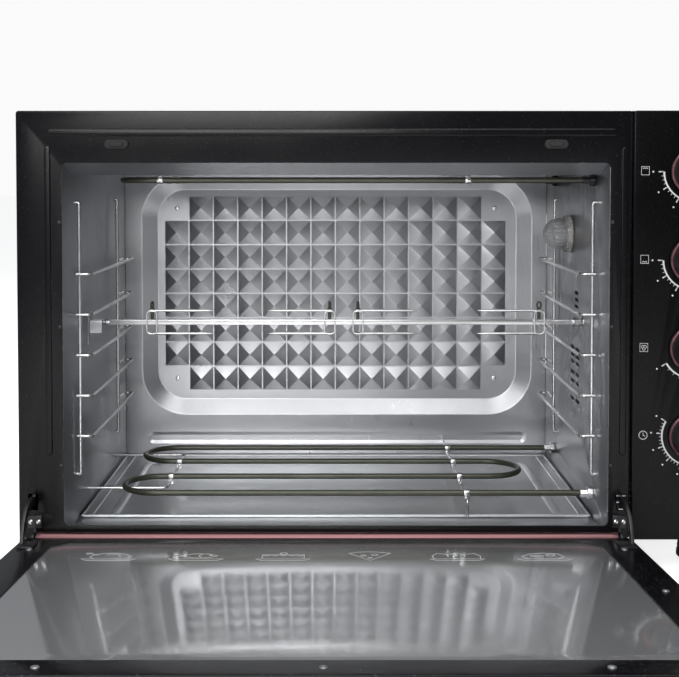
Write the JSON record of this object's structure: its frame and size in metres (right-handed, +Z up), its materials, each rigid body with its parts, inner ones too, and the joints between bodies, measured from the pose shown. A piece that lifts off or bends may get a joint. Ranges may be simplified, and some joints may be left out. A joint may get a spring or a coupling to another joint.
{
  "type": "countertop oven-type air fryer",
  "caption": "Large countertop convection oven with a drop-down glass door, rotisserie spit with forks, heating elements, wire rack guides and a dial control panel.",
  "frame": {"origin": "centre of the bounding box's underside, on the counter, with the door open", "axes": "+X to the oven's right as seen from the front, +Y from the front to the back, +Z up"},
  "size_m": [0.75, 0.8928, 0.475],
  "materials": {
    "black_enamel": "satin enamel",
    "black_paint": "fine textured powder coat",
    "black_moulding": "semi-gloss moulded",
    "cavity_steel": "satin coated steel sheet",
    "galvanised_sheet": "plain galvanised",
    "bright_wire": "polished",
    "heater_sheath": "oxidised dark olive sheath",
    "rose_gold": "satin anodised",
    "rubber_feet": "matt",
    "clear_glass": "clear pressed glass",
    "door_glass": "tempered, slightly grey",
    "ceramic_body": "unglazed",
    "switch_case": "moulded phenolic",
    "amber_lens": "translucent"
  },
  "bodies": {
    "oven": {"outer_wrap": "black_paint", "back_cover": "black_paint", "base_plate": "galvanised_sheet", "foot_front_left": "rubber_feet", "foot_front_right": "rubber_feet", "foot_rear_left": "rubber_feet", "foot_rear_right": "rubber_feet", "front_frame": "black_enamel", "control_fascia": "black_moulding", "door_buffer_left": "rubber_feet", "door_buffer_right": "rubber_feet", "hinge_lug_left": "galvanised_sheet", "hinge_lug_right": "galvanised_sheet", "cavity_left_wall": "cavity_steel", "cavity_right_wall": "cavity_steel", "cavity_ceiling": "cavity_steel", "cavity_floor": "cavity_steel", "cavity_back_panel": "cavity_steel", "crumb_tray": "cavity_steel", "rack_guide_left": "bright_wire", "rack_guide_right": "bright_wire", "upper_heating_element": "heater_sheath", "lower_heating_element": "heater_sheath", "lower_support_left": "bright_wire", "lower_support_right": "bright_wire", "lamp_holder": "ceramic_body", "lamp_glass": "clear_glass", "lamp_bulb": "clear_glass", "spit_bearing": "galvanised_sheet", "rotisserie_motor": "galvanised_sheet", "fan_motor": "galvanised_sheet", "air_duct": "galvanised_sheet", "timer_unit": "switch_case", "thermostat_upper": "switch_case", "thermostat_lower": "switch_case", "function_switch": "switch_case", "indicator_light": "amber_lens", "cable_gland": "rubber_feet"},
    "door": {"door_frame": "black_paint", "door_inner_glass": "door_glass", "door_outer_glass": "door_glass", "door_rail": "rose_gold", "door_handle": "rose_gold", "door_arm_left": "galvanised_sheet", "door_arm_right": "galvanised_sheet"},
    "rotisserie": {"spit_rod": "bright_wire", "drive_socket": "bright_wire"},
    "fork_1": {"spit_fork_1": "bright_wire"},
    "fork_2": {"spit_fork_2": "bright_wire"},
    "fork_3": {"spit_fork_3": "bright_wire"},
    "fork_4": {"spit_fork_4": "bright_wire"},
    "screw_1": {"fork_screw_1": "bright_wire"},
    "screw_2": {"fork_screw_2": "bright_wire"},
    "screw_3": {"fork_screw_3": "bright_wire"},
    "screw_4": {"fork_screw_4": "bright_wire"},
    "fan": {"fan_wheel": "galvanised_sheet"},
    "timer_dial": {"timer_knob": "black_moulding"},
    "upper_heat_dial": {"upper_heat_knob": "black_moulding"},
    "lower_heat_dial": {"lower_heat_knob": "black_moulding"},
    "function_dial": {"function_knob": "black_moulding"}
  },
  "joints": [
    {"name": "door_hinge", "type": "hinge", "parent": "oven", "child": "door", "pos_m": [-0.058, -0.02258, 0.0375], "axis": [-1, 0, 0], "range_deg": [0, 86.5]},
    {"name": "rotisserie_spin", "type": "hinge", "parent": "oven", "child": "rotisserie", "pos_m": [-0.049, 0.12442, 0.244], "axis": [1, 0, 0], "continuous": true},
    {"name": "fork_1_slide", "type": "slide", "parent": "rotisserie", "child": "fork_1", "axis": [1, 0, 0], "range_m": [-0.02, 0.025]},
    {"name": "fork_2_slide", "type": "slide", "parent": "rotisserie", "child": "fork_2", "axis": [1, 0, 0], "range_m": [-0.025, 0.008]},
    {"name": "fork_3_slide", "type": "slide", "parent": "rotisserie", "child": "fork_3", "axis": [1, 0, 0], "range_m": [-0.008, 0.025]},
    {"name": "fork_4_slide", "type": "slide", "parent": "rotisserie", "child": "fork_4", "axis": [1, 0, 0], "range_m": [-0.025, 0.01]},
    {"name": "fork_1_screw", "type": "hinge", "parent": "fork_1", "child": "screw_1", "pos_m": [-0.2575, 0.12442, 0.254], "axis": [0, 0, 1], "range_deg": [0, 450]},
    {"name": "fork_2_screw", "type": "hinge", "parent": "fork_2", "child": "screw_2", "pos_m": [-0.056, 0.12442, 0.254], "axis": [0, 0, 1], "range_deg": [0, 450]},
    {"name": "fork_3_screw", "type": "hinge", "parent": "fork_3", "child": "screw_3", "pos_m": [-0.024, 0.12442, 0.254], "axis": [0, 0, 1], "range_deg": [0, 450]},
    {"name": "fork_4_screw", "type": "hinge", "parent": "fork_4", "child": "screw_4", "pos_m": [0.1816, 0.12442, 0.254], "axis": [0, 0, 1], "range_deg": [0, 450]},
    {"name": "fan_spin", "type": "hinge", "parent": "oven", "child": "fan", "pos_m": [0.25, 0.16642, 0.168], "axis": [1, 0, 0], "continuous": true},
    {"name": "upper_heat_turn", "type": "hinge", "parent": "oven", "child": "upper_heat_dial", "pos_m": [0.31425, -0.03, 0.413], "axis": [0, 1, 0], "range_deg": [0, 270]},
    {"name": "lower_heat_turn", "type": "hinge", "parent": "oven", "child": "lower_heat_dial", "pos_m": [0.31425, -0.03, 0.323], "axis": [0, 1, 0], "range_deg": [0, 270]},
    {"name": "function_turn", "type": "hinge", "parent": "oven", "child": "function_dial", "pos_m": [0.31425, -0.03, 0.233], "axis": [0, 1, 0], "range_deg": [0, 240]},
    {"name": "timer_turn", "type": "hinge", "parent": "oven", "child": "timer_dial", "pos_m": [0.31425, -0.03, 0.143], "axis": [0, 1, 0], "range_deg": [0, 300]}
  ]
}
